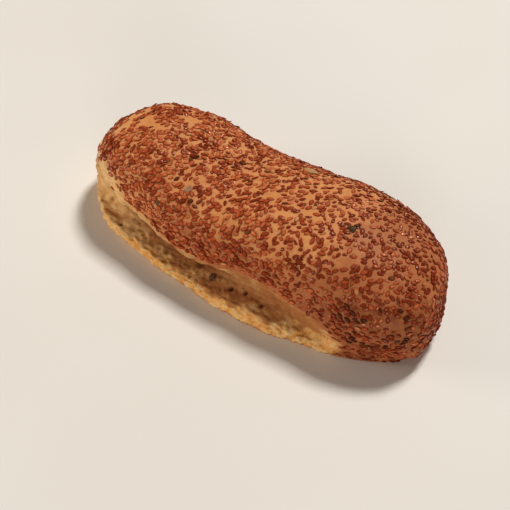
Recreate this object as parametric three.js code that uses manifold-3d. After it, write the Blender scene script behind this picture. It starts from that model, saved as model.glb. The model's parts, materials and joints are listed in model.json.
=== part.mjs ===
import * as THREE from "three";
import { mergeVertices } from "three/addons/utils/BufferGeometryUtils.js";
import Module from "manifold-3d";

// A long seeded bread roll that lies on its flat base. Millimetres, +Z up.
// X runs along the loaf. The side that tore open in the oven faces -Y.

// Driving sizes
const LENGTH = 236;
const TIP_HEIGHT = 22; // height at which both ends close
const UNDER_DEPTH = 8; // the rounded underside goes this far below the cut that makes the flat base
const UNDER_TUCK = 20; // how far the crust curves in under the loaf at that depth
const BELLY_DEPTH = 5; // the middle of the underside is this much deeper still
const BULGE_HEIGHT = 22; // height at which the back is widest
const CROWN_LEAN = 0.3; // how far the crown line follows the wider side, 0 to 1
const DOME_POWER = 2.35; // superellipse power of the domed top
const LEFT_END_POWER = 2.7; // bluntness of the left end
const RIGHT_END_POWER = 4; // and of the right end
const PLAN_ROOT = 0.5; // how roundly the ends close seen from above
const CROWN_ROOT = 0.42; // and along the crown
const UNDER_ROOT = 0.3; // and underneath
const LIP_THICKNESS = 3.5; // crust that overhangs the tear
const FOOT_HEIGHT = 5; // height at which the crumb ledge sticks out furthest
const FOOT_TUCK = 2.5; // how far the ledge curves in to the base

// Shape along the loaf, at these fractions of the half-length
const STATIONS = [-1, -0.6, -0.2, 0.2, 0.6, 1];
const SPINE = [9, 5, 0, -2, -4, -6]; // sideways bend of the centre line
const BACK_REACH = [44, 55.5, 52, 53.5, 60, 55]; // half-width behind the centre line
const FRONT_REACH = [64, 49.5, 46, 46.5, 44.5, 44]; // half-width in front, out to the ledge
const CROWN_HEIGHT = [64, 61, 51, 58, 58, 56];
const LIP_HEIGHT = [36, 25.5, 22, 29.5, 18, 12]; // lower edge of the seeded crust
const LIP_INSET = [16, 10.5, 6.5, 13.5, 7, 0]; // ledge beyond the lip
const TEAR_DEPTH = [1, 6, 8, 5, 2, 0]; // hollow behind the lip
const TEAR_SHARE = [0.5, 1, 1, 1, 0.6, 0]; // 1 where the side is torn, 0 where it is whole

// Slow unevenness of dough shaped by hand
const CRUST_SWAY = 0.6;
const LIP_SWAY = 0.9;
const FOOT_SWAY = 1;

// Mesh resolution
const RINGS = 64;
const SIDE_STEPS = 12; // steps on each upper quarter of a ring
const BACK_STEPS = 7; // steps from the back's widest place to the base
const TEAR_STEPS = 16;
const BASE_STEPS = 7;

const CRUST = { color: 0x9a5a34, roughness: 0.62, metalness: 0 };

const wasm = await Module();
wasm.setup();

// A smooth function of the place along the loaf, through one value for each station.
function alongLoaf(values) {
  const curve = new THREE.CubicInterpolant(STATIONS, values, 1, new Float64Array(1));
  return (place) => curve.evaluate(place)[0];
}

const spineAt = alongLoaf(SPINE);
const backReachAt = alongLoaf(BACK_REACH);
const frontReachAt = alongLoaf(FRONT_REACH);
const crownHeightAt = alongLoaf(CROWN_HEIGHT);
const lipHeightAt = alongLoaf(LIP_HEIGHT);
const lipInsetAt = alongLoaf(LIP_INSET);
const tearDepthAt = alongLoaf(TEAR_DEPTH);
const tearShareAt = alongLoaf(TEAR_SHARE);

// How much of the full section is left at a place: 1 in the middle, 0 at the ends.
function endClosing(place, root) {
  const power = THREE.MathUtils.lerp(LEFT_END_POWER, RIGHT_END_POWER, (place + 1) / 2);
  return Math.max(1 - Math.abs(place) ** power, 0) ** root;
}

// A quarter of a superellipse: how far out and how far up at a step from 0 to 1.
function quarterArc(step) {
  const angle = (step * Math.PI) / 2;
  return {
    out: Math.cos(angle) ** (2 / DOME_POWER),
    up: Math.sin(angle) ** (2 / DOME_POWER),
  };
}

// An uneven line along the loaf, between about -1 and 1.
function swayAt(place, phase) {
  return 0.6 * Math.sin(8 * place + phase) + 0.4 * Math.sin(19 * place + 2 * phase);
}

// The whole front side below the lip, which curves in under the loaf.
function plainSide(step, inset, lipHeight) {
  const arc = quarterArc(step);
  const drop = (lipHeight + UNDER_DEPTH) * arc.up;
  return new THREE.Vector2(inset * step - UNDER_TUCK * (1 - arc.out), lipHeight - drop);
}

// The torn side: a thin lip, the hollow under it and the crumb ledge that sticks out at the foot.
function tornSide(inset, lipHeight, depth) {
  const points = [
    [0, lipHeight],
    [-0.25 * LIP_THICKNESS, lipHeight - 0.8 * LIP_THICKNESS],
    [-0.75 * depth - 1, lipHeight - 1.5 * LIP_THICKNESS],
    [-depth, 0.58 * lipHeight],
    [-0.4 * depth + 0.25 * inset, 0.42 * lipHeight],
    [0.72 * inset, 0.5 * lipHeight - 0.6 * FOOT_HEIGHT],
    [inset, FOOT_HEIGHT],
    [inset - FOOT_TUCK, 0],
    [inset - UNDER_TUCK, -UNDER_DEPTH],
  ];
  return new THREE.SplineCurve(points.map(([out, up]) => new THREE.Vector2(out, up)));
}

// One closed ring across the loaf, as points (y, z), counter-clockwise seen from +X.
function ringAt(place) {
  const planClosing = endClosing(place, PLAN_ROOT);
  const crownClosing = endClosing(place, CROWN_ROOT);
  const underClosing = endClosing(place, UNDER_ROOT);

  const back = (backReachAt(place) + CRUST_SWAY * swayAt(place, 2)) * planClosing;
  const foot = (frontReachAt(place) + FOOT_SWAY * swayAt(place, 1)) * planClosing;
  const inset = lipInsetAt(place);
  const lip = foot - inset * planClosing;
  const crown = crownHeightAt(place) + CRUST_SWAY * swayAt(place, 3);
  const lipHeight = lipHeightAt(place) + LIP_SWAY * swayAt(place, 5);
  const crownShift = (back - foot) * 0.5 * CROWN_LEAN;
  const depth = tearDepthAt(place);
  const share = THREE.MathUtils.clamp(tearShareAt(place), 0, 1);
  const torn = tornSide(inset, lipHeight, depth);

  const ring = [];
  for (let i = 0; i < BACK_STEPS; i += 1) {
    const arc = quarterArc(1 - i / BACK_STEPS);
    const drop = (BULGE_HEIGHT + UNDER_DEPTH) * arc.up;
    ring.push([back - UNDER_TUCK * planClosing * (1 - arc.out), BULGE_HEIGHT - drop]);
  }
  for (let i = 0; i < SIDE_STEPS; i += 1) {
    const arc = quarterArc(i / SIDE_STEPS);
    ring.push([crownShift + (back - crownShift) * arc.out, BULGE_HEIGHT + (crown - BULGE_HEIGHT) * arc.up]);
  }
  for (let i = 0; i < SIDE_STEPS; i += 1) {
    const arc = quarterArc(1 - i / SIDE_STEPS);
    ring.push([crownShift - (crownShift + lip) * arc.out, lipHeight + (crown - lipHeight) * arc.up]);
  }
  for (let i = 0; i <= TEAR_STEPS; i += 1) {
    const step = i / TEAR_STEPS;
    const plain = plainSide(step, inset, lipHeight);
    const point = plain.lerp(torn.getPoint(step), share);
    ring.push([-lip - point.x * planClosing, point.y]);
  }
  const [frontEdge] = ring[ring.length - 1];
  const [backEdge] = ring[0];
  for (let i = 1; i < BASE_STEPS; i += 1) {
    const step = i / BASE_STEPS;
    const belly = BELLY_DEPTH * Math.sin(step * Math.PI);
    ring.push([THREE.MathUtils.lerp(frontEdge, backEdge, step), -UNDER_DEPTH - belly]);
  }

  return ring.map(([across, height]) => {
    const closing = height > TIP_HEIGHT ? crownClosing : underClosing;
    const up = TIP_HEIGHT + (height - TIP_HEIGHT) * closing;
    return new THREE.Vector3((LENGTH / 2) * place, spineAt(place) + across, up);
  });
}

// Skins the rings into one closed body, with a single point at each tip.
function roundedBody() {
  const rings = [];
  for (let i = 1; i < RINGS; i += 1) {
    rings.push(ringAt(-Math.cos((i / RINGS) * Math.PI)));
  }
  const around = rings[0].length;
  const points = rings.flat();
  const leftTip = points.length;
  const rightTip = points.length + 1;
  points.push(new THREE.Vector3(-LENGTH / 2, spineAt(-1), TIP_HEIGHT));
  points.push(new THREE.Vector3(LENGTH / 2, spineAt(1), TIP_HEIGHT));

  const faces = [];
  for (let j = 0; j < around; j += 1) {
    const next = (j + 1) % around;
    const lastRing = (rings.length - 1) * around;
    faces.push(leftTip, next, j);
    faces.push(rightTip, lastRing + j, lastRing + next);
    for (let i = 0; i < rings.length - 1; i += 1) {
      const here = i * around;
      const there = here + around;
      faces.push(here + j, here + next, there + next);
      faces.push(here + j, there + next, there + j);
    }
  }

  const geometry = new THREE.BufferGeometry().setFromPoints(points);
  geometry.setIndex(faces);
  return geometry;
}

// A closed geometry as a solid that can be cut.
function solidOf(geometry) {
  return new wasm.Manifold(
    new wasm.Mesh({
      numProp: 3,
      vertProperties: new Float32Array(geometry.attributes.position.array),
      triVerts: new Uint32Array(geometry.index.array),
    }),
  );
}

// A box that takes away everything below the base.
function underBox() {
  const box = new THREE.BoxGeometry(2 * LENGTH, 2 * LENGTH, LENGTH);
  box.deleteAttribute("normal");
  box.deleteAttribute("uv");
  box.translate(0, 0, -LENGTH / 2);
  return mergeVertices(box);
}

// The loaf cut flat at the base, with the middle of its base at the origin.
function loafGeometry() {
  const cut = solidOf(roundedBody()).subtract(solidOf(underBox())).getMesh();
  const geometry = new THREE.BufferGeometry();
  geometry.setAttribute("position", new THREE.BufferAttribute(cut.vertProperties, 3));
  geometry.setIndex(new THREE.BufferAttribute(cut.triVerts, 1));
  geometry.computeVertexNormals();
  geometry.computeBoundingBox();
  const middle = geometry.boundingBox.getCenter(new THREE.Vector3());
  geometry.translate(-middle.x, -middle.y, -geometry.boundingBox.min.z);
  return geometry;
}

const seededRoll = new THREE.Group();
const loaf = new THREE.Mesh(loafGeometry(), new THREE.MeshStandardMaterial(CRUST));
loaf.name = "loaf";
seededRoll.add(loaf);

export default seededRoll;
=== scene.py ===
"""A long seeded bread roll: a domed crust under linseeds, a torn pale side and a flat base."""

from __future__ import annotations

import json
import logging
import math
import random
from collections.abc import Callable
from dataclasses import dataclass, field
from enum import Enum
from functools import cache
from typing import Any

import bmesh
import bpy
import numpy as np
from mathutils import Matrix, Vector, noise
from mathutils.kdtree import KDTree

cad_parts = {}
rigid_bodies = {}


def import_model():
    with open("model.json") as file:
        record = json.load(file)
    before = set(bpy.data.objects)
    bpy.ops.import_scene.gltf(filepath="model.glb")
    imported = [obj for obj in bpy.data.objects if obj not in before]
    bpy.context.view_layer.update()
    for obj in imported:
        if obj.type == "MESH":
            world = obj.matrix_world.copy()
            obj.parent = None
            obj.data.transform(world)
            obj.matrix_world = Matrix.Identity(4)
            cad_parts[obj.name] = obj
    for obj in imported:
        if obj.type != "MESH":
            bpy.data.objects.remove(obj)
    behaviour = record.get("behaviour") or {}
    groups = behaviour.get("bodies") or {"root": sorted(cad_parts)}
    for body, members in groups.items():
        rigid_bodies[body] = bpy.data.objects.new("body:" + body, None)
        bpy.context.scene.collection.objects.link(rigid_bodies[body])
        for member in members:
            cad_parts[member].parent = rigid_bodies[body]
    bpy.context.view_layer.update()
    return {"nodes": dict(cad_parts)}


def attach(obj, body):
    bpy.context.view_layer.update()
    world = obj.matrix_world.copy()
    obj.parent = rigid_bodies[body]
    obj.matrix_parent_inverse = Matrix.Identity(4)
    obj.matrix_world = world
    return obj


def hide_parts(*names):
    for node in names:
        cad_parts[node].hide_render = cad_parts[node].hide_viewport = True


log = logging.getLogger("seeded_roll")

MM = 0.001
Colour = tuple[float, float, float, float]
Triple = tuple[float, float, float]

NOISE_SHIFT = 31.7  # how far apart two noises are read
NOISE_GAIN = 1.6  # brings the noise to about -1 to 1
CELL_SHIFT = 17.3  # how far apart two scatters are read
CELL_SPREAD = 7.3  # gives neighbouring centres different random numbers


def paint(red: int, green: int, blue: int) -> Colour:
    """Turns a display colour into the linear one that shaders use.

    Args:
        red: red, 0 to 255.
        green: green, 0 to 255.
        blue: blue, 0 to 255.

    Returns:
        The linear colour with full alpha.
    """
    linear = []
    for part in (red / 255, green / 255, blue / 255):  # the display curve is straight near black
        linear.append(part / 12.92 if part <= 0.04045 else ((part + 0.055) / 1.055) ** 2.4)
    return (linear[0], linear[1], linear[2], 1.0)


def ease(low: float, high: float, value: np.ndarray) -> np.ndarray:
    """Gives 0 for values at low, 1 for values at high and a smooth rise between; low may be the greater."""
    share = np.clip((value - low) / (high - low), 0.0, 1.0)
    return share * share * (3.0 - 2.0 * share)


def lumps(points: np.ndarray, size: float, seed: int, stretch: Triple = (1, 1, 1)) -> np.ndarray:
    """Reads noise of about -1 to 1 at points in millimetres, in lumps of a size, stretched in x, y and z."""
    places = points / (size * np.array(stretch)) + NOISE_SHIFT * seed
    return np.array([noise.noise(place) for place in places.tolist()]) * NOISE_GAIN


def cells(points: np.ndarray, size: float, seed: int) -> tuple[np.ndarray, np.ndarray]:
    """Reads scattered cell centres.

    Args:
        points: places in millimetres, one per row.
        size: usual distance between two centres in millimetres.
        seed: which scatter to read.

    Returns:
        The distance to the nearest centre as a share of size, and a random number of that cell from 0 to 1.
    """
    places = points / size + CELL_SHIFT * seed
    near, chance = [], []
    for place in places.tolist():
        distances, centres = noise.voronoi(place)
        near.append(distances[0])
        chance.append(abs(noise.cell(centres[0] * CELL_SPREAD)))
    return np.array(near), np.array(chance)


def add_object(name: str, data: bpy.types.ID) -> bpy.types.Object:
    """Adds an object to the scene.

    Args:
        name: the object's name.
        data: its mesh, light or camera.

    Returns:
        The object.
    """
    thing = bpy.data.objects.new(name, data)
    bpy.context.scene.collection.objects.link(thing)
    return thing


def read_rows(items: Any, name: str) -> np.ndarray:
    """Reads a vector of each of a mesh's elements, one per row."""
    return np.array([getattr(item, name)[:] for item in items])


def store(mesh: bpy.types.Mesh, name: str, values: np.ndarray) -> None:
    """Writes a number for each point to a mesh, where a material can read it."""
    mesh.attributes.new(name, "FLOAT", "POINT").data.foreach_set("value", values)


def deselect_all() -> None:
    """Leaves nothing selected."""
    for thing in bpy.context.view_layer.objects:
        thing.select_set(False)


def make_active(thing: bpy.types.Object) -> None:
    """Selects one object alone and makes it the active one.

    Args:
        thing: the object.
    """
    deselect_all()
    thing.select_set(True)
    bpy.context.view_layer.objects.active = thing


def apply_modifier(thing: bpy.types.Object, kind: str, **settings: Any) -> None:
    """Adds one modifier and applies it.

    Args:
        thing: the object to change.
        kind: the modifier's type.
        **settings: the modifier's own settings.
    """
    make_active(thing)
    modifier = thing.modifiers.new(kind.lower(), kind)
    for name, value in settings.items():
        setattr(modifier, name, value)
    bpy.ops.object.modifier_apply(modifier=modifier.name)


def select_points(thing: bpy.types.Object, wanted: Callable[[Vector], bool]) -> None:
    """Selects the vertices of a mesh in edit mode by their place.

    Args:
        thing: the object in edit mode.
        wanted: says of a vertex's place whether it is selected.
    """
    edited = bmesh.from_edit_mesh(thing.data)
    for corner in edited.verts:
        corner.select = wanted(corner.co)
    edited.select_flush_mode()
    bmesh.update_edit_mesh(thing.data)


def stretch_selected(x: float, y: float, z: float) -> None:
    """Scales the selected vertices about the origin."""
    bpy.ops.transform.resize(value=(x, y, z), center_override=(0, 0, 0))


class Wire:
    """One output of a material's node, with arithmetic that adds Math nodes."""

    def __init__(self, recipe: Recipe, socket: bpy.types.NodeSocket | None) -> None:
        """Wraps one socket of a recipe, or none where the node gives nothing back."""
        self.recipe = recipe
        self.socket = socket

    def _math(self, operation: str, first: Wire | float, second: Wire | float) -> Wire:
        """Adds one Math node of two values."""
        return self.recipe.node("ShaderNodeMath", {"operation": operation}, {0: first, 1: second})

    def __add__(self, other: Wire | float) -> Wire:
        """Gives self + other."""
        return self._math("ADD", self, other)

    __radd__ = __add__

    def __sub__(self, other: Wire | float) -> Wire:
        """Gives self - other."""
        return self._math("SUBTRACT", self, other)

    def __rsub__(self, other: Wire | float) -> Wire:
        """Gives other - self."""
        return self._math("SUBTRACT", other, self)

    def __mul__(self, other: Wire | float) -> Wire:
        """Gives self * other."""
        return self._math("MULTIPLY", self, other)

    __rmul__ = __mul__

    def rise(self, low: float, high: float) -> Wire:
        """Rises smoothly from 0 to 1 as this value goes from low to high."""
        sockets = {"Value": self, "From Min": low, "From Max": high}
        return self.recipe.node("ShaderNodeMapRange", {"interpolation_type": "SMOOTHSTEP"}, sockets)


class Recipe:
    """One material and the nodes that make it."""

    def __init__(self, name: str) -> None:
        """Starts an empty material.

        Args:
            name: the material's name.
        """
        self.material = bpy.data.materials.new(name)
        self.material.use_nodes = True
        self.tree = self.material.node_tree
        self.tree.nodes.clear()
        self.place = self.node("ShaderNodeTexCoord", {}, {}, output="Object")

    def node(
        self, kind: str, settings: dict[str, Any], sockets: dict[int | str, Any], output: int | str = 0
    ) -> Wire:
        """Adds one node.

        Args:
            kind: the node's type.
            settings: its properties, and stops for a colour ramp as (place, colour) pairs.
            sockets: a value or a wire for each input, by name or number.
            output: which output to give back.

        Returns:
            The output as a wire.
        """
        made = self.tree.nodes.new(kind)
        for name, value in settings.items():
            if name == "stops":
                ramp = made.color_ramp
                while len(ramp.elements) < len(value):
                    ramp.elements.new(0.5)
                for stop, (where, colour) in zip(ramp.elements, value):
                    stop.position = where
                    stop.color = colour
            else:
                setattr(made, name, value)
        for name, value in sockets.items():
            if isinstance(value, Wire):
                self.tree.links.new(value.socket, made.inputs[name])
            else:
                made.inputs[name].default_value = value
        return Wire(self, made.outputs[output] if len(made.outputs) else None)

    @cache
    def read(self, name: str) -> Wire:
        """Reads a number stored on the mesh's points."""
        return self.node("ShaderNodeAttribute", {"attribute_name": name}, {}, output="Fac")

    @cache
    def grain(self, size: float, detail: float = 2.0, stretch: Triple = (1, 1, 1)) -> Wire:
        """Adds solid noise of a real size, or gives it again where it is there already.

        Args:
            size: size of one grain in millimetres.
            detail: how many finer layers it has.
            stretch: how much longer a grain is along x, y and z.

        Returns:
            Noise of about 0.2 to 0.8.
        """
        squeeze = tuple(1.0 / part for part in stretch)
        mapped = self.node("ShaderNodeMapping", {}, {"Vector": self.place, "Scale": squeeze})
        sockets = {"Vector": mapped, "Scale": 1.0 / (size * MM), "Detail": detail, "Roughness": 0.55}
        return self.node("ShaderNodeTexNoise", {}, sockets)

    def mix(self, share: Wire | float, first: Wire | Colour, second: Wire | Colour) -> Wire:
        """Mixes two colours, from the first at a share of 0 to the second at 1."""
        return self.node("ShaderNodeMix", {"data_type": "RGBA"}, {0: share, 6: first, 7: second}, output=2)

    def bump(self, height: Wire, depth: float) -> Wire:
        """Turns a height of about 0 to 1 into a normal, where 1 is as many millimetres as depth says."""
        return self.node("ShaderNodeBump", {}, {"Height": height, "Strength": 1.0, "Distance": depth * MM})

    def finish(self, sockets: dict[str, Any]) -> bpy.types.Material:
        """Closes the recipe with the surface shader.

        Args:
            sockets: the shader's inputs.

        Returns:
            The finished material.
        """
        surface = self.node("ShaderNodeBsdfPrincipled", {}, sockets, output="BSDF")
        self.node("ShaderNodeOutputMaterial", {}, {"Surface": surface})
        return self.material


@dataclass(frozen=True)
class CrustFinish:
    """Baked crust, torn crumb, golden rim and base, as one material that reads the loaf's masks."""

    gold: Colour = paint(222, 154, 92)
    amber: Colour = paint(208, 130, 70)
    blush: Colour = paint(214, 138, 90)
    speckle: Colour = paint(186, 106, 60)
    # baked brown, also used as painted shade low on the front
    toast: Colour = paint(180, 107, 66)
    char: Colour = paint(120, 62, 34)
    straw: Colour = paint(234, 186, 124)
    olive: Colour = paint(212, 160, 100)
    tan: Colour = paint(182, 118, 68)
    rim: Colour = paint(240, 174, 96)
    pale: Colour = paint(242, 198, 134)
    # painted shade for the hollow and the crevice under the lip
    lip_shade: Colour = paint(142, 86, 44)
    # painted shade in the holes and pits
    stain: Colour = paint(112, 64, 36)
    baked: Colour = paint(190, 124, 68)
    sheen: Colour = (1.0, 0.72, 0.48, 1.0)
    wide: float = 22.0  # sizes of the grains, in millimetres
    middle: float = 5.0
    fine: float = 1.2
    relief: float = 0.7
    fibre: tuple[float, float, Triple] = (2.2, 3.0, (4, 1, 1))

    def material(self) -> bpy.types.Material:
        """Makes the crust's material.

        Returns:
            The material.
        """
        recipe = Recipe("crust")
        strip, fibre = recipe.read("strip"), recipe.grain(*self.fibre)
        middle, fine = recipe.grain(self.middle), recipe.grain(self.fine)
        torn = (strip + (fine - 0.5) * 0.4).rise(0.3, 0.7)
        colour = recipe.mix(torn, self._seeded(recipe), self._crumb(recipe))
        ridge = (recipe.read("ridge") + (fine - 0.5) * 0.7).rise(0.25, 1.0)
        colour = recipe.mix(ridge * 0.45, colour, self.pale)
        # painted shade in the holes and pits of the crumb
        colour = recipe.mix(recipe.read("stain") * 0.85, colour, self.stain)
        under = recipe.mix(middle.rise(0.4, 0.7), self.baked, self.toast)
        colour = recipe.mix(recipe.read("base").rise(0.85, 1.0), colour, under)
        relief = recipe.grain(self.relief, 3.0) + strip * 1.6 * (fibre + fine)
        return recipe.finish(
            {
                "Base Color": colour,
                "Roughness": 0.4 + 0.15 * middle + 0.3 * strip,
                "Coat Weight": 0.02 - 0.02 * strip,
                "Coat Roughness": 0.3,
                "Specular IOR Level": 0.12,
                "Specular Tint": self.sheen,
                "Normal": recipe.bump(relief, 0.26),
            }
        )

    def _seeded(self, recipe: Recipe) -> Wire:
        """Colours the seeded crust: reddish round the seeds, toasted on the right, darker low on the front
        partly as painted shade, faded at the left end.

        Args:
            recipe: the material.

        Returns:
            The colour.
        """
        toast, fibre = recipe.read("toast"), recipe.grain(*self.fibre)
        middle, fine = recipe.grain(self.middle), recipe.grain(self.fine)
        crust = recipe.mix(recipe.grain(self.wide).rise(0.35, 0.65) * 0.6, self.gold, self.amber)
        crust = recipe.mix(recipe.read("halo").rise(0.02, 0.5) * 0.75, crust, self.blush)
        crust = recipe.mix((fine + (middle - 0.5) * 0.5).rise(0.5, 0.75) * 0.4, crust, self.speckle)
        crust = recipe.mix((toast + (middle - 0.5) * 0.6).rise(0.1, 0.75), crust, self.toast)
        charred = (toast + (middle - 0.5) * 0.9 + (fine - 0.5) * 0.5).rise(1.0, 1.9)
        crust = recipe.mix(charred, crust, self.char)
        faded = (recipe.read("faded") + (fine - 0.5) * 0.5).rise(0.1, 0.8)
        return recipe.mix(faded, crust, recipe.mix(fibre.rise(0.4, 0.65), self.straw, self.olive))

    def _crumb(self, recipe: Recipe) -> Wire:
        """Colours the crumb in the tear: browned in places, golden along the foot, paler on the rim's raised
        crumbs as a painted highlight, and darkened under the lip as painted shade.

        Args:
            recipe: the material.

        Returns:
            The colour.
        """
        ragged, fibre = recipe.read("ragged"), recipe.grain(*self.fibre)
        middle, fine = recipe.grain(self.middle), recipe.grain(self.fine)
        crumb = recipe.mix(middle.rise(0.35, 0.65), self.straw, self.olive)
        browned = recipe.read("browned") + fibre - 0.5
        browned = browned + (recipe.grain(self.wide) - 0.5) * 0.6 + (middle - 0.5) * 0.6
        crumb = recipe.mix(browned.rise(0.1, 0.75), crumb, self.tan)
        # painted highlight: the rim paler where its ragged crumbs stand up, tanner in places, a little more
        # where they sink
        rough = recipe.mix(ragged.rise(-0.2, 0.5), self.rim, self.pale)
        rough = recipe.mix((middle - ragged * 0.3).rise(0.5, 0.75) * 0.4, rough, self.tan)
        crumb = recipe.mix((recipe.read("rim") + (fine - 0.5) * 0.8).rise(0.2, 0.7), crumb, rough)
        # painted shade in the hollow and the crevice under the lip
        return recipe.mix((recipe.read("shade") + (fine - 0.5) * 0.4).rise(0.1, 1.0) * 0.9, crumb, self.lip_shade)


@dataclass(frozen=True)
class SeedFinish:
    """A smooth, glossy seed coat, its edge darkened as painted shade where it meets the crust."""

    name: str
    light: Colour
    middle: Colour
    dark: Colour
    # the edge's colour, painted shade
    rim: Colour

    def material(self) -> bpy.types.Material:
        """Makes the seed coat's material.

        Returns:
            The material.
        """
        recipe = Recipe(self.name)
        tone = recipe.read("tone") + (recipe.grain(0.9) - 0.5) * 0.25
        stops = [(0.0, self.dark), (0.45, self.middle), (1.0, self.light)]
        colour = recipe.node("ShaderNodeValToRGB", {"stops": stops}, {"Fac": tone}, output="Color")
        edge = recipe.read("edge")
        # painted shade: the seed darkened towards its edge
        colour = recipe.mix(edge.rise(0.4, 0.95) * 0.78, colour, self.rim)
        return recipe.finish(
            {
                "Base Color": colour,
                "Roughness": 0.4 + 0.1 * recipe.grain(2.5),
                "Coat Weight": recipe.read("shine") * (1.0 - edge.rise(0.3, 0.8)),
                "Coat Roughness": 0.13,
                "Specular IOR Level": 0.0,
                "Normal": recipe.bump(recipe.grain(0.5), 0.04),
            }
        )


@dataclass(frozen=True)
class KernelFinish:
    """The dry skin of a larger kernel, with soft streaks along it."""

    name: str
    light: Colour
    dark: Colour
    roughness: float = 0.5

    def material(self) -> bpy.types.Material:
        """Makes the kernel's material.

        Returns:
            The material.
        """
        recipe = Recipe(self.name)
        streak = recipe.grain(0.9, 3.0, (3, 1, 1))
        colour = recipe.mix(streak.rise(0.3, 0.7), self.light, self.dark)
        return recipe.finish(
            {
                "Base Color": colour,
                "Roughness": self.roughness + 0.15 * streak,
                "Specular IOR Level": 0.12,
                "Normal": recipe.bump(streak, 0.12),
            }
        )


@dataclass(frozen=True)
class FloorFinish:
    """A plain pale floor with a very faint unevenness."""

    light: Colour = paint(238, 233, 224)
    shade: Colour = paint(234, 228, 218)

    def material(self) -> bpy.types.Material:
        """Makes the floor's material.

        Returns:
            The material.
        """
        recipe = Recipe("pale_floor")
        colour = recipe.mix(recipe.grain(300).rise(0.3, 0.7), self.light, self.shade)
        return recipe.finish({"Base Color": colour, "Roughness": 0.7, "Specular IOR Level": 0.2})


@dataclass
class LoafLines:
    """The lines of the CAD loaf that its regions follow, in millimetres of the part's frame.

    Each tuple has one value for each of six equally spaced stations from the left tip to the right one.
    """

    half_length: float = 118.0
    side_shift: float = -3.5415
    tip_height: float = 22.0
    left_end_power: float = 2.7
    right_end_power: float = 4.0
    plan_root: float = 0.5
    crown_root: float = 0.42
    under_root: float = 0.3
    lip_sway: float = 0.9
    spine: tuple[float, ...] = (9, 5, 0, -2, -4, -6)
    front_reach: tuple[float, ...] = (64, 49.5, 46, 46.5, 44.5, 44)
    lip_height: tuple[float, ...] = (36, 25.5, 22, 29.5, 18, 12)
    lip_inset: tuple[float, ...] = (16, 10.5, 6.5, 13.5, 7, 0)
    tear_share: tuple[float, ...] = (0.5, 1, 1, 1, 0.6, 0)

    @staticmethod
    def along(values: tuple[float, ...], place: np.ndarray) -> np.ndarray:
        """Reads a smooth line along the loaf.

        Args:
            values: the line's value at each station.
            place: places along the loaf, from -1 to 1.

        Returns:
            The line's value at each place.
        """
        last = len(values) - 1
        reach = np.clip((place + 1) * 0.5 * last, 0, last - 1e-6)
        at = reach.astype(int)
        step = reach - at
        line = np.array(values, dtype=float)
        before = np.where(at > 0, line[np.maximum(at - 1, 0)], line[at + 1])
        after = np.where(at + 2 <= last, line[np.minimum(at + 2, last)], line[at])
        square, cube = step**2, step**3
        return (
            before * (-0.5 * cube + square - 0.5 * step)
            + line[at] * (1.5 * cube - 2.5 * square + 1)
            + line[at + 1] * (-1.5 * cube + 2 * square + 0.5 * step)
            + after * (0.5 * cube - 0.5 * square)
        )

    def closing(self, place: np.ndarray, root: float) -> np.ndarray:
        """How much of the full section is left at each place: 1 in the middle, 0 at the tips."""
        power = self.left_end_power * (1 - (place + 1) / 2) + self.right_end_power * ((place + 1) / 2)
        return np.maximum(1 - np.abs(place) ** power, 0) ** root

    def spine_at(self, place: np.ndarray) -> np.ndarray:
        """The centre line's sideways place."""
        return self.along(self.spine, place) + self.side_shift

    def lip_height_at(self, place: np.ndarray) -> np.ndarray:
        """Height of the seeded crust's lower edge on the torn side.

        Args:
            place: places along the loaf, from -1 to 1.

        Returns:
            The heights in millimetres.
        """
        sway = 0.6 * np.sin(8 * place + 5) + 0.4 * np.sin(19 * place + 10)  # as the CAD lip sways
        height = self.along(self.lip_height, place) + self.lip_sway * sway
        crown, under = self.closing(place, self.crown_root), self.closing(place, self.under_root)
        return self.tip_height + (height - self.tip_height) * np.where(height > self.tip_height, crown, under)

    def lip_side_at(self, place: np.ndarray) -> np.ndarray:
        """Sideways place of the lip's outer edge."""
        reach = self.along(self.front_reach, place) - self.along(self.lip_inset, place)
        return self.spine_at(place) - reach * self.closing(place, self.plan_root)

    def is_torn(self, point: np.ndarray) -> bool:
        """Says whether a point lies on the torn side, below the lip."""
        place = np.array([point[0] / self.half_length])
        return bool(point[2] < self.lip_height_at(place)[0] and point[1] < self.spine_at(place)[0])


@dataclass(frozen=True)
class Patch:
    """An oval place on the crust, seen from above, in millimetres and degrees."""

    x: float
    y: float
    length: float
    width: float
    heading: float = 36.0
    lowest: float = 12.0  # the patch stops at this height

    def mask(self, points: np.ndarray) -> np.ndarray:
        """Says how much each point lies in the patch.

        Args:
            points: places in millimetres, one per row.

        Returns:
            1 in the middle, falling to 0 at the edge.
        """
        turn = math.radians(self.heading)
        away_x, away_y = points[:, 0] - self.x, points[:, 1] - self.y
        along = away_x * math.cos(turn) + away_y * math.sin(turn)
        across = away_y * math.cos(turn) - away_x * math.sin(turn)
        reach = np.hypot(along / (self.length / 2), across / (self.width / 2))
        return ease(1.15, 0.6, reach) * (points[:, 2] > self.lowest)


# what the loaf writes to its mesh for the crust's material
MASKS = ("strip", "ridge", "rim", "shade", "toast", "base", "stain", "ragged", "browned", "faded")


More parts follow.
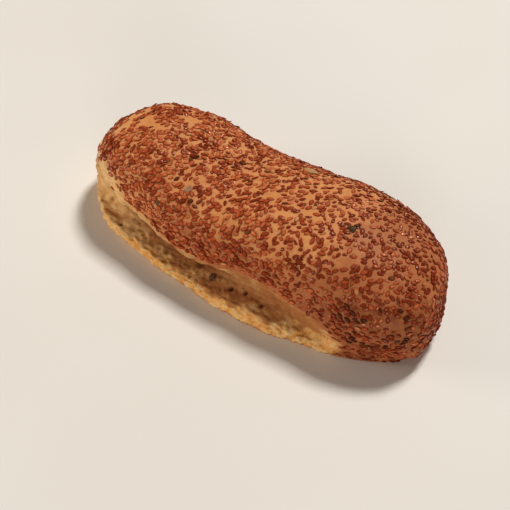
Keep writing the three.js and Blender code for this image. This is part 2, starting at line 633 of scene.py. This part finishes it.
@dataclass
class Loaf:
    """The loaf's skin: the CAD solid with the fine relief and the regions of a real crust.

    Lengths are in millimetres. A pair of values says where a region's mask is 0 and where it is 1.
    """

    lines: LoafLines = field(default_factory=LoafLines)
    lanes: tuple[Patch, ...] = (  # bare places between the seeds
        Patch(24, 10, 32, 4.5),
        Patch(35, -5, 30, 4),
        Patch(9, -4, 16, 5),
        Patch(30, 19, 20, 3.5),
        Patch(19, -15, 12, 4),
        Patch(67, -22, 9, 6),
        Patch(-59, 8, 12, 5, 0),
        Patch(104, -29, 14, 5, 28),
        Patch(-98, 0, 20, 9, 60),
        Patch(-96, 14, 22, 9, 70),
        Patch(-85, 8, 12, 13, 60),
        Patch(-74, 6, 16, 7, 30),
        Patch(-63, 22, 14, 8, 30),
        Patch(-84, 25, 12, 6, 30),
    )
    voxel: float = 0.9
    sink: float = 1.0  # room for the seeds inside the CAD solid
    margin: Triple = (0.8, 0.7, 0.0)  # kept free inside the CAD box
    halo_rounds: int = 3
    lip_droop: Triple = (26.0, 20.0, 2.5)  # where the lip hangs lower, how far and by how much
    tear_end: tuple[float, float] = (92.0, 70.0)
    base_tilt: tuple[float, float] = (-0.4, -0.8)  # how far a face looks down
    base_height: tuple[float, float] = (1.8, 0.8)
    rim_height: tuple[float, float] = (12.0, 6.0)
    heel_height: tuple[float, float] = (8.0, 4.0)
    faded_end: tuple[float, float] = (-60.0, -88.0)
    toasted_end: tuple[float, float] = (40.0, 90.0)
    swells: tuple[tuple[float, float, float, float, float], ...] = (  # place, reach and rise
        (-86, 25, 50, 26, 3.0),
        (-108, -2, 42, 14, -2.4),
        (118, 2, 28, 16, -1.6),
        (106, -36, 9, 16, -2.4),
        (117, -24, 12, 12, 2.6),
        (104, 22, 40, 22, 2.4),
        (94, -42, 6, 22, -2.8),
        (43, 35, 48, 24, 1.6),
        (12, -31, 25, 20, 2.6),
        (30, -31, 26, 22, 3.2),
        (50, -35, 22, 16, 1.8),
    )
    pits: tuple[tuple[float, float, float, float], ...] = (  # place and size of the holes, sunk and painted dark as shade
        (-33.5, -40.0, 20.0, 2.0),
        (-18.2, -36.7, 13.0, 2.6),
        (29.1, -42.5, 12.0, 1.5),
        (16.7, -40.0, 12.3, 1.3),
        (7.6, -41.6, 11.4, 1.2),
        (-96.9, -28.5, 12.0, 1.0),
        (-75.5, -37.0, 11.5, 1.3),
    )

    def build(self, node: bpy.types.Object) -> None:
        """Makes the skin from the CAD node.

        Args:
            node: the CAD node's object.
        """
        mesh = node.data.copy()
        mesh.name = "loaf_skin"
        self.piece = add_object("loaf_skin", mesh)
        make_active(self.piece)
        bpy.ops.object.mode_set(mode="EDIT")
        bpy.ops.mesh.select_all(action="SELECT")
        bpy.ops.mesh.remove_doubles(threshold=0.00001)
        bpy.ops.object.mode_set(mode="OBJECT")
        apply_modifier(self.piece, "REMESH", mode="VOXEL", voxel_size=self.voxel * MM, adaptivity=0.0)
        apply_modifier(self.piece, "SMOOTH", factor=0.5, iterations=5)
        self.points = read_rows(self.piece.data.vertices, "co") / MM
        self.normals = read_rows(self.piece.data.vertex_normals, "vector")
        self._find_tear()
        self._find_marks()
        self._find_baking()
        self._raise_relief()
        self._store()
        make_active(self.piece)
        bpy.ops.object.shade_smooth()

    def _find_tear(self) -> None:
        """Works out the torn side: its crumb, the lip's ridge, the foot's rim and the painted shade in the
        hollow.
        """
        points, lines = self.points, self.lines
        x, y, z = points.T
        place = np.clip(x / lines.half_length, -1, 1)
        spine = lines.spine_at(place)
        self.wave = wave = lumps(points, 6, 1)
        droop_x, droop_reach, droop = self.lip_droop
        below = lines.lip_height_at(place) - z - droop * np.exp(-(((x - droop_x) / droop_reach) ** 2))
        share = np.clip(lines.along(lines.tear_share, place), 0, 1)
        share = np.clip(share * 1.4 + 0.3 * lumps(points, 14, 2) * (x > 40), 0, 1)
        share = share * ease(*self.tear_end, x)
        # the tear goes round the left tip
        front = ease(-4, 4, spine - y) + ease(-96, -114, x) * ease(24, 6, y - spine)
        self.front = front = np.clip(front, 0, 1)
        self.torn = share * front
        self.above = -below
        self.strip = ease(-0.8, 1.2, below + 0.7 * wave) * share * front
        self.ridge = np.exp(-(((below + 0.5 + 0.7 * wave) / 1.5) ** 2)) * share * front
        patchy = ease(-0.5, 0.4, lumps(points, 9, 14)) * (ease(0, -15, x) + 0.6 * ease(30, 50, x))
        self.ridge *= np.clip(patchy, 0, 1)
        self.base = ease(*self.base_tilt, self.normals[:, 2]) * ease(*self.base_height, z)
        self.rim = self.strip * ease(*self.rim_height, z + 2.4 * wave) * (1 - self.base)
        # the hollow lies behind the lip's edge, with a crevice right under the lip on the left that is
        # painted dark as shade
        behind = y - lines.lip_side_at(place)
        crevice = np.exp(-(((below - 3.5 + wave) / 1.8) ** 2)) * self.strip
        crevice = crevice * ease(-82, -66, x) * ease(-4, -16, x)
        tucked = self.strip * ease(-1, 7, behind) * ease(0, 3, below)
        self.hollow = np.maximum(tucked * (0.3 + 0.7 * ease(60, 0, np.abs(x + 45))), 0.9 * crevice)
        # painted shade under the lip's overhang, weaker on the right, joined with the crevice
        right = ease(-12, 12, x)
        shade = self.strip * ease(-1, 7, behind + 6 * right) * ease(0, 3, below + 2.5 * right)
        self.shade = np.maximum(shade * (1 - 0.5 * right) * ease(125, 55, np.abs(x + 15)), crevice)

    def _find_marks(self) -> None:
        """Works out where the crumb is browned, where the crust is faded and where the holes are, darkened
        with painted shade.
        """
        points, wave = self.points, self.wave
        x = points[:, 0]
        browned = 0.7 * ease(-70, -40, x) * ease(96, 66, x) + 0.45 * lumps(points, 13, 13)
        self.browned = np.clip(browned, 0, 1)
        self.faded = self.torn * ease(*self.faded_end, x) * ease(19, 3, self.above + 4 * wave)
        # painted shade: holes and small pits of the crumb, also sunk into the relief
        self.stain = np.zeros(len(x))
        for px, py, pz, size in self.pits:
            away = np.linalg.norm(points - (px, py, pz), axis=1) + 0.4 * size * wave
            self.stain = np.maximum(self.stain, ease(size * 1.4, size * 0.5, away))
        near, chance = cells(points, 6, 2)
        self.stain = np.maximum(self.stain, 0.6 * self.strip * ease(0.36, 0.1, near) * (chance > 0.85))

    def _find_baking(self) -> None:
        """Works out the bare foot of the back, and how dark the crust is: baked at the right end, and low on
        the front partly painted shade.
        """
        x, _, z = self.points.T
        heel = ease(*self.heel_height, z + 2.5 * self.wave) * (1 - self.front) * (1 - self.base)
        self.heel = heel * ease(98, 70, x)
        # darkest at the right end, where it is baked, and low on the front and lower down, partly baked and
        # partly painted shade
        toast = 0.95 * ease(*self.toasted_end, x) + 0.9 * ease(54, 30, z) * self.front * ease(-70, 0, x)
        toast += 0.3 * ease(50, 20, z)
        toast += 0.22 * lumps(self.points, 18, 3)
        self.toast = np.clip(toast * (1 - self.strip) - 0.35 * self.heel, 0, 1.4)

    def _raise_relief(self) -> None:
        """Moves the points along their normals into the fine shape."""
        points = self.points
        crust = (1 - self.strip) * (1 - self.base)
        height = -self.sink * (1 - 0.8 * self.strip)
        for sx, sy, sz, size, rise in self.swells:
            away = np.linalg.norm(points - (sx, sy, sz), axis=1)
            height += rise * ease(size, 0, away)
        height += crust * (0.4 * lumps(points, 24, 4) + 0.22 * lumps(points, 9, 5))
        height += crust * 0.07 * lumps(points, 2.6, 6)
        # pulled, porous crumb
        fibre = lumps(points, 2.4, 7, (4, 1, 1))
        crumb = 0.5 * fibre + 0.5 * lumps(points, 5, 8) + 0.35 * lumps(points, 1.9, 9)
        near, chance = cells(points, 5, 1)
        crumb -= 0.9 * ease(0.45, 0.1, near) * (chance > 0.6)
        height += self.strip * crumb
        height += 2.6 * self.hollow * ease(-15, 8, points[:, 0])
        height += self.ridge * (0.1 + 0.8 * lumps(points, 4, 10))
        # the rim's ragged relief, which the crust's colour also reads for a painted highlight on the raised
        # crumbs
        self.ragged = 0.45 * lumps(points, 4.5, 11) + 0.5 * lumps(points, 2.2, 12)
        self.ragged += 0.3 * lumps(points, 1.4, 15)
        height += self.rim * (1.4 * self.ragged - 0.8)
        height += 1.2 * self.strip * ease(-72, -92, points[:, 0]) * ease(14, 2, -self.above)
        height -= 1.5 * self.stain
        moved = points + self.normals * height[:, None]
        moved[:, 2] = np.maximum(moved[:, 2], 0) * (1 - self.base)
        low, high = points.min(axis=0) + self.margin, points.max(axis=0) - self.margin
        self.points = np.clip(moved, low, high)

    def _store(self) -> None:
        """Writes the points and the masks back to the mesh."""
        mesh = self.piece.data
        mesh.vertices.foreach_set("co", (self.points * MM).ravel())
        for name in MASKS:
            store(mesh, name, getattr(self, name))
        mesh.update()
        self.normals = read_rows(mesh.vertex_normals, "vector")

    def note_seeds(self, covered: np.ndarray) -> None:
        """Writes down how close each point is to a seed, for the crust's colour.

        Args:
            covered: 1 for each point under a seed.
        """
        mesh = self.piece.data
        flat = np.empty(len(mesh.edges) * 2, dtype=np.int32)
        mesh.edges.foreach_get("vertices", flat)
        ends, others = flat.reshape(-1, 2).T
        count = len(covered)
        degree = np.maximum(np.bincount(flat, minlength=count), 1)
        halo = covered.copy()
        for _ in range(self.halo_rounds):
            around = np.bincount(ends, halo[others], count) + np.bincount(others, halo[ends], count)
            halo = 0.5 * halo + 0.5 * around / degree
        store(mesh, "halo", halo)

    def dress(self) -> None:
        """Gives the skin its material and its place in the frame."""
        self.piece.data.materials.clear()
        self.piece.data.materials.append(CrustFinish().material())
        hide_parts("loaf")
        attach(self.piece, "root")

    def seed_cover(self) -> np.ndarray:
        """Works out how much of each point's surroundings the seeds cover.

        Returns:
            A share from 0 to 1 for each point.
        """
        x, y, z = self.points.T
        # thick at the left, the right end, the crown, the back and the low right front
        dense = np.maximum.reduce(
            [
                ease(2, -35, x),
                0.5 * ease(80, 104, x),
                ease(50, 40, z) * ease(60, 20, x),
                ease(18, 34, y),
                0.9 * ease(34, 20, z) * ease(55, 75, x),
            ]
        )
        cover = 0.6 + 0.18 * dense + 0.2 * lumps(self.points, 11, 20) + 0.32 * lumps(self.points, 5, 21)
        for lane in self.lanes:
            cover *= 1 - 0.9 * lane.mask(self.points)
        cover *= 1 - self.torn * ease(2.4, 0.8, self.above + 0.9 * lumps(self.points, 7, 23))
        cover *= 1 - 0.95 * ease(0.15, 0.75, self.faded)
        cover *= 1 - 0.97 * self.heel
        cover = np.maximum(cover * (1 - self.strip), 0.012 * self.strip)
        return np.clip(cover * ease(0.95, 0.6, self.base) * ease(0.1, 0.8, z), 0, 0.95)


class SeedKind(Enum):
    """The kinds of linseed on the crust, each one piece."""

    BROWN = "brown_linseeds"
    GOLDEN = "golden_linseeds"
    TOASTED = "toasted_linseeds"


# the last colour of each is painted shade at the seed's edge
SEED_FINISHES: dict[SeedKind, SeedFinish] = {
    SeedKind.BROWN: SeedFinish(
        "brown_seed", paint(208, 112, 66), paint(174, 78, 43), paint(127, 48, 23), paint(112, 39, 15)
    ),
    SeedKind.GOLDEN: SeedFinish(
        "golden_seed", paint(214, 146, 96), paint(198, 124, 74), paint(176, 100, 54), paint(134, 62, 26)
    ),
    SeedKind.TOASTED: SeedFinish(
        "toasted_seed", paint(130, 66, 38), paint(106, 50, 28), paint(84, 38, 20), paint(62, 26, 12)
    ),
}


@dataclass
class Linseed:
    """One linseed: a flat glossy teardrop of 26 corners, with its length along x, in millimetres."""

    length: float = 4.5
    width: float = 2.5
    thickness: float = 0.9
    taper: tuple[Triple, ...] = ((0.15, 1.04, 0.94), (0.3, 1.03, 0.84), (0.4, 1.06, 0.75))

    def model(self) -> tuple[np.ndarray, list[tuple[int, ...]]]:
        """Models the seed from a sphere: flat below, broad in the middle, pointed at one end.

        Returns:
            The corners in millimetres, and the faces.
        """
        deselect_all()
        bpy.ops.mesh.primitive_uv_sphere_add(segments=12, ring_count=4, radius=0.5)
        seed = bpy.context.object
        bpy.ops.object.mode_set(mode="EDIT")
        bpy.ops.mesh.select_mode(type="VERT")
        select_points(seed, lambda at: at.z < -0.1)
        bpy.ops.mesh.merge(type="CENTER")
        select_points(seed, lambda at: 0.1 < at.z < 0.45)
        stretch_selected(1.18, 1.2, 0.8)
        for start, longer, narrower in self.taper:
            select_points(seed, lambda at, start=start: at.x > start)
            stretch_selected(longer, narrower, 1.0)
        select_points(seed, lambda at: True)
        stretch_selected(self.length / 1.08, self.width, self.thickness)
        bpy.ops.mesh.normals_make_consistent(inside=False)
        bpy.ops.object.mode_set(mode="OBJECT")
        corners = read_rows(seed.data.vertices, "co")
        faces = [tuple(face.vertices) for face in seed.data.polygons]
        bpy.data.objects.remove(seed, do_unlink=True)
        return corners, faces


@dataclass(frozen=True)
class Spot:
    """Where one seed lies, and what the crust is like there."""

    point: np.ndarray
    normal: np.ndarray
    along: np.ndarray  # the seed's direction
    overlap: float  # how much it lies on its neighbours
    clump: float  # how much the place lies in a toasted patch
    toast: float  # how dark the crust is, baked and partly painted shade low on the front
    mood: float  # how much lighter the seeds are than elsewhere


@dataclass
class SeedBed:
    """The linseeds, laid one by one on the loaf so that they pack as poured seeds do."""

    loaf: Loaf
    form: Linseed = field(default_factory=Linseed)
    toasted: tuple[Patch, ...] = (
        Patch(-44, -6, 16, 10),
        Patch(-47, -16, 14, 9),
        Patch(-25, -27, 9, 7),
        Patch(-21, 9, 12, 8, 80),
        Patch(-4, 2, 9, 8),
        Patch(60, -2, 11, 8),
        Patch(96, -14, 12, 7),
        Patch(109, -30, 26, 12, -60),
        Patch(95, -35, 16, 14),
        Patch(82, -41, 16, 14),
    )
    room: Triple = (117.9, 52.0, 58.1)  # no seed goes past these, so that all stay in the CAD box
    dice: int = 7  # which run of random numbers is used
    headings: int = 5  # tried for each seed
    roam: float = 5.0  # how far around a seed the cover is counted
    half_seed: float = 2.6  # how far from its middle a seed can reach
    least_cover: float = 0.015
    sparse_cover: float = 0.1  # under this only a stray seed lies
    stray_chance: float = 0.02
    grain: float = 36.0  # degrees; this share of the seeds lies within the spread of it, in radians
    grain_share: float = 0.45
    grain_spread: float = 0.5
    free_overlap: float = 0.12  # more is allowed where the seeds lie thick
    nod: float = 0.13  # usual tilt along a seed, in radians
    lean: float = 0.16  # and across it
    steep_chance: float = 0.08
    size_spread: float = 0.15
    size_limit: float = 0.25
    smaller_end: tuple[float, float] = (10.0, 70.0)  # seeds get smaller from the first x to the second
    proud_from: float = 70.0  # beyond this x the seeds stand higher
    glossy_from: float = 45.0
    golden_chance: float = 0.03
    odd_chance: float = 0.036  # golden or toasted
    patch_chance: float = 0.3  # added to it in a toasted patch

    def lay(self) -> None:
        """Chooses a place, a heading and a kind for every seed."""
        self.rolls = random.Random(self.dice)
        points, normals = self.loaf.points, self.loaf.normals
        cover = self.loaf.seed_cover()
        tree = KDTree(len(points))
        for number, point in enumerate(points.tolist()):
            tree.insert(point, number)
        tree.balance()
        covered = np.zeros(len(points))
        tried = [number for number in range(len(points)) if cover[number] > self.least_cover]
        self.rolls.shuffle(tried)
        clump = np.maximum.reduce([patch.mask(points) for patch in self.toasted])
        mood = 0.15 * ease(20, -60, points[:, 0]) - 0.12 * ease(0, 50, points[:, 0])
        mood += 0.55 * lumps(points, 8, 30)
        self.seeds: dict[SeedKind, list[tuple[Matrix, float, float]]] = {kind: [] for kind in SeedKind}
        for number in tried:
            wanted = cover[number]
            near = np.array([found[1] for found in tree.find_range(points[number].tolist(), self.roam)])
            patience = 1.0 if wanted > self.sparse_cover else 0.6 + self.rolls.random()
            if covered[near].mean() > wanted * patience:
                continue
            if wanted < self.sparse_cover and self.rolls.random() > self.stray_chance:
                continue
            away = points[near] - points[number]
            close = np.abs(away).max(axis=1) < self.half_seed
            near, away = near[close], away[close]
            normal = normals[near].mean(axis=0)
            normal /= np.linalg.norm(normal)
            best = self._best_heading(away, normal, covered[near], wanted)
            if best is None:
                continue
            along, under, overlap = best
            covered[near[under]] = 1.0
            toast = self.loaf.toast[number]
            self._place(Spot(points[number], normal, along, overlap, clump[number], toast, mood[number]))
        self.loaf.note_seeds(covered)

    def _best_heading(
        self, away: np.ndarray, normal: np.ndarray, covered: np.ndarray, wanted: float
    ) -> tuple[np.ndarray, np.ndarray, float] | None:
        """Turns a seed to the heading that overlaps its neighbours least.

        Args:
            away: the near points, as seen from the seed.
            normal: which way is up for the seed.
            covered: 1 for each near point that lies under a seed already.
            wanted: how much of the crust here is to be covered.

        Returns:
            The seed's direction, which near points it covers and how much it overlaps, or nothing.
        """
        grain = math.radians(self.grain)
        best = None
        for _ in range(self.headings):
            spread = self.grain_spread if self.rolls.random() < self.grain_share else math.pi
            turn = grain + self.rolls.uniform(-spread, spread)
            along = np.array([math.cos(turn), math.sin(turn), 0.0])
            along -= normal * along.dot(normal)
            along /= max(np.linalg.norm(along), 1e-6)
            across = np.cross(normal, along)
            lengthwise = away @ along / (self.form.length / 2)
            crosswise = away @ across / (self.form.width / 2)
            under = lengthwise**2 + crosswise**2 < 1.0
            overlap = covered[under].mean() if under.any() else 1.0
            if best is None or overlap < best[2]:
                best = (along, under, overlap)
        allowed = self.free_overlap + 0.6 * max(wanted - 0.5, 0)
        return best if best[2] <= allowed else None

    def _place(self, spot: Spot) -> None:
        """Stores one seed with its tilt, its size, its height and its kind.

        Args:
            spot: where it lies.
        """
        rolls, x = self.rolls, spot.point[0]
        up, lengthwise = Vector(spot.normal), Vector(spot.along)
        if rolls.random() < 0.5:
            lengthwise.negate()
        crosswise = up.cross(lengthwise)
        turned = Matrix((lengthwise, crosswise, up)).transposed()
        tilt = rolls.gauss(0, self.nod)
        tilt += rolls.uniform(-0.5, 0.5) if rolls.random() < self.steep_chance else 0
        tilted = turned @ Matrix.Rotation(tilt + spot.overlap * 0.6, 3, "Y")
        tilted = tilted @ Matrix.Rotation(rolls.gauss(0, self.lean), 3, "X")
        size = 1 + max(-self.size_limit, min(self.size_limit, rolls.gauss(0, self.size_spread)))
        size *= 1.03 - 0.14 * float(ease(*self.smaller_end, x))
        # higher on other seeds and at the right end, sunk on the torn side
        height = 0.9 * spot.overlap + rolls.uniform(-0.18, 0.1)
        if x > self.proud_from:
            height += 0.15
        if self.loaf.lines.is_torn(spot.point):
            height -= 0.25
        place = Matrix.Translation(Vector(spot.point) + up * height)
        placed = place @ (tilted.to_4x4() @ Matrix.Scale(size, 4))
        # glossier on the right, darker where the crust is darker, which is partly painted shade
        shine = min((0.2 + 0.8 * rolls.random() ** 2) * (1.4 if x > self.glossy_from else 0.7), 1.0)
        tone = 0.12 + 0.76 * rolls.random() + spot.mood - 0.15 * spot.toast
        chance = rolls.random()
        kind = SeedKind.BROWN
        if chance < self.golden_chance:
            kind = SeedKind.GOLDEN
        elif chance < self.odd_chance + self.patch_chance * spot.clump:
            kind = SeedKind.TOASTED
            shine *= 0.5
        self.seeds[kind].append((placed, tone, shine))

    def build(self) -> list[bpy.types.Object]:
        """Joins the seeds of each kind into one piece.

        Returns:
            The pieces.
        """
        self.corners, self.faces = self.form.model()
        pieces = []
        for kind, seeds in self.seeds.items():
            piece = self._join(kind.value, seeds)
            piece.data.materials.append(SEED_FINISHES[kind].material())
            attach(piece, "root")
            pieces.append(piece)
        return pieces

    def _join(self, name: str, seeds: list[tuple[Matrix, float, float]]) -> bpy.types.Object:
        """Writes many placed copies of the seed into one mesh.

        Args:
            name: the piece's name.
            seeds: the place, the tone and the shine of each copy.

        Returns:
            The piece.
        """
        corners, places, rings = self.corners, [], []
        for number, (placed, _, _) in enumerate(seeds):
            turned = np.array(placed)
            places.append(corners @ turned[:3, :3].T + turned[:3, 3])
            first = number * len(corners)
            rings.extend(tuple(first + corner for corner in face) for face in self.faces)
        side_x, side_y, top = self.room
        everything = np.clip(np.concatenate(places), (-side_x, -side_y, 0), (side_x, side_y, top))
        mesh = bpy.data.meshes.new(name)
        mesh.from_pydata((everything * MM).tolist(), [], rings)
        mesh.polygons.foreach_set("use_smooth", [True] * len(mesh.polygons))
        tones, shines = np.array([(tone, shine) for _, tone, shine in seeds]).T
        reach = np.hypot(corners[:, 0] / self.form.length, corners[:, 1] / self.form.width)
        edge = np.clip(reach * 2, 0, 1)  # 0 in a seed's middle, 1 at its edge, where the material darkens it as painted shade
        own = {
            "tone": np.repeat(tones, len(corners)),
            "shine": np.repeat(shines, len(corners)),
            "edge": np.tile(edge, len(seeds)),
        }
        for label, values in own.items():
            store(mesh, label, values)
        return add_object(name, mesh)


@dataclass
class Kernel:
    """One larger kernel or flake that lies among the seeds, in millimetres and degrees."""

    name: str
    place: Triple
    heading: float
    size: Triple
    finish: KernelFinish
    point: float = 0.75  # how narrow its tip is
    height: float = 0.3  # of its middle over the crust
    footing: int = 40  # how many of the crust's points it lies on

    def build(self, loaf: Loaf) -> bpy.types.Object:
        """Models the kernel and lays it on the crust.

        Args:
            loaf: the loaf that it lies on.

        Returns:
            The finished piece.
        """
        deselect_all()
        bpy.ops.mesh.primitive_uv_sphere_add(segments=24, ring_count=12, radius=0.5)
        piece = bpy.context.object
        piece.name = piece.data.name = self.name
        bpy.ops.object.mode_set(mode="EDIT")
        bpy.ops.mesh.select_mode(type="VERT")
        for edge, narrow in ((0.2, 0.95), (0.32, 0.88), (0.42, self.point)):
            select_points(piece, lambda at, edge=edge: at.x > edge)
            stretch_selected(1.06, narrow, narrow)
        select_points(piece, lambda at: True)
        stretch_selected(self.size[0] / 1.1, self.size[1], self.size[2])
        bpy.ops.object.mode_set(mode="OBJECT")
        near = np.argsort(np.linalg.norm(loaf.points - self.place, axis=1))[: self.footing]
        up = Vector(loaf.normals[near].mean(axis=0)).normalized()
        turn = math.radians(self.heading)
        along = Vector((math.cos(turn), math.sin(turn), 0))
        along = (along - up * along.dot(up)).normalized()
        turned = Matrix((along, up.cross(along), up)).transposed()
        centre = Vector(loaf.points[near].mean(axis=0)) + up * self.height
        corners = read_rows(piece.data.vertices, "co")
        corners += 0.05 * lumps(corners, 1.5, 40)[:, None] * corners
        placed = (corners @ np.array(turned).T + np.array(centre)) * MM
        piece.data.vertices.foreach_set("co", placed.ravel())
        piece.data.update()
        bpy.ops.object.shade_smooth()
        piece.data.materials.append(self.finish.material())
        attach(piece, "root")
        return piece


def kernels() -> list[Kernel]:
    """Lists the larger kernels among the seeds.

    Returns:
        The kernels, not built yet.
    """
    olive = KernelFinish("olive_kernel_skin", paint(204, 154, 104), paint(164, 116, 72))
    dark = KernelFinish("dark_kernel_skin", paint(88, 62, 38), paint(58, 40, 24), 0.55)
    flake = KernelFinish("pale_flake_skin", paint(178, 134, 102), paint(136, 92, 64))
    speck = KernelFinish("green_speck_skin", paint(112, 84, 50), paint(78, 58, 34))
    sunk = KernelFinish("sunk_kernel_skin", paint(112, 72, 44), paint(76, 48, 30))
    return [
        Kernel("olive_kernel", (15.5, 27.6, 52.0), -5, (10.2, 5.2, 2.2), olive, height=0.5),
        Kernel("dark_kernel", (60.2, -2.6, 56.1), -50, (5.2, 3.7, 2.0), dark),
        Kernel("pale_flake", (-34.6, -20.6, 49.5), 60, (5.2, 3.7, 1.0), flake),
        Kernel("green_speck", (-47.6, -33.2, 41.9), 70, (3.6, 2.4, 1.3), speck),
        Kernel("sunk_kernel", (-6.6, -40.1, 10.9), 60, (5.2, 4.2, 1.8), sunk),
    ]


@dataclass(frozen=True)
class Lamp:
    """One soft square light that faces the loaf, in metres and watts."""

    name: str
    towards: Triple  # the direction from the loaf to the light
    distance: float
    size: float
    power: float
    colour: Triple

    def build(self) -> None:
        """Hangs the light in its place."""
        data = bpy.data.lights.new(self.name, "AREA")
        data.size = self.size
        data.energy = self.power
        data.color = self.colour
        direction = Vector(self.towards).normalized()
        turned = direction.to_track_quat("Z", "Y").to_matrix().to_4x4()
        add_object(self.name, data).matrix_world = Matrix.Translation(direction * self.distance) @ turned


@dataclass
class Studio:
    """The camera, the pale floor and the soft lights, in metres."""

    camera_place: Triple = (0.23213, -0.32706, 0.46091)
    camera_back: Triple = (0.38333, -0.52823, 0.75765)  # from the loaf towards the camera
    camera_right: Triple = (0.80935, 0.58733, 0.0)
    camera_roll: float = 0.0368  # radians
    lens: float = 73.07  # millimetres, as the sensor
    sensor: float = 36.0
    floor_side: float = 8.0
    room_colour: Colour = (1.0, 0.9, 0.8, 1.0)
    room_strength: float = 0.11
    lamps: tuple[Lamp, ...] = (
        Lamp("key_light", (0.08, 0.68, 1.04), 5.0, 0.88, 212.0, (1.0, 0.99, 0.97)),
        Lamp("left_light", (-0.9, -0.45, 0.22), 2.0, 0.8, 17.0, (1.0, 0.94, 0.87)),
        Lamp("right_light", (0.6, -0.8, 0.2), 2.0, 0.8, 13.0, (1.0, 0.94, 0.87)),
    )

    def build(self) -> None:
        """Sets up the whole studio."""
        self._camera()
        self._floor()
        for lamp in self.lamps:
            lamp.build()
        world = bpy.data.worlds.new("soft_room")
        world.use_nodes = True
        glow = world.node_tree.nodes["Background"]
        glow.inputs["Color"].default_value = self.room_colour
        glow.inputs["Strength"].default_value = self.room_strength
        bpy.context.scene.world = world
        bpy.context.scene.view_settings.view_transform = "Standard"

    def _camera(self) -> None:
        """Adds the camera, rolled a little about its own view."""
        back, right = Vector(self.camera_back).normalized(), Vector(self.camera_right).normalized()
        up = back.cross(right)
        turn_cos, turn_sin = math.cos(self.camera_roll), math.sin(self.camera_roll)
        rolled_right = right * turn_cos - up * turn_sin
        rolled_up = right * turn_sin + up * turn_cos
        data = bpy.data.cameras.new("camera")
        data.lens = self.lens
        data.sensor_width = self.sensor
        data.clip_start = 0.01
        camera = add_object("camera", data)
        turned = Matrix((rolled_right, rolled_up, back)).transposed().to_4x4()
        camera.matrix_world = Matrix.Translation(self.camera_place) @ turned
        bpy.context.scene.camera = camera

    def _floor(self) -> None:
        """Adds the plain floor that the loaf lies on."""
        deselect_all()
        bpy.ops.mesh.primitive_plane_add(size=self.floor_side, location=(0, 0, 0))
        floor = bpy.context.object
        floor.name = "floor"
        floor.data.materials.append(FloorFinish().material())


def main() -> None:
    """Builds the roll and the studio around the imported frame."""
    logging.basicConfig(level=logging.INFO, format="%(message)s")
    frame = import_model()

    Studio().build()
    log.info("studio ready")

    loaf = Loaf()
    loaf.build(frame["nodes"]["loaf"])
    loaf.dress()
    log.info("loaf_skin: %d faces", len(loaf.piece.data.polygons))

    bed = SeedBed(loaf)
    bed.lay()
    for piece in bed.build():
        log.info("%s: %d faces", piece.name, len(piece.data.polygons))

    for kernel in kernels():
        piece = kernel.build(loaf)
        log.info("%s: %d faces", piece.name, len(piece.data.polygons))


if __name__ == "__main__":
    main()
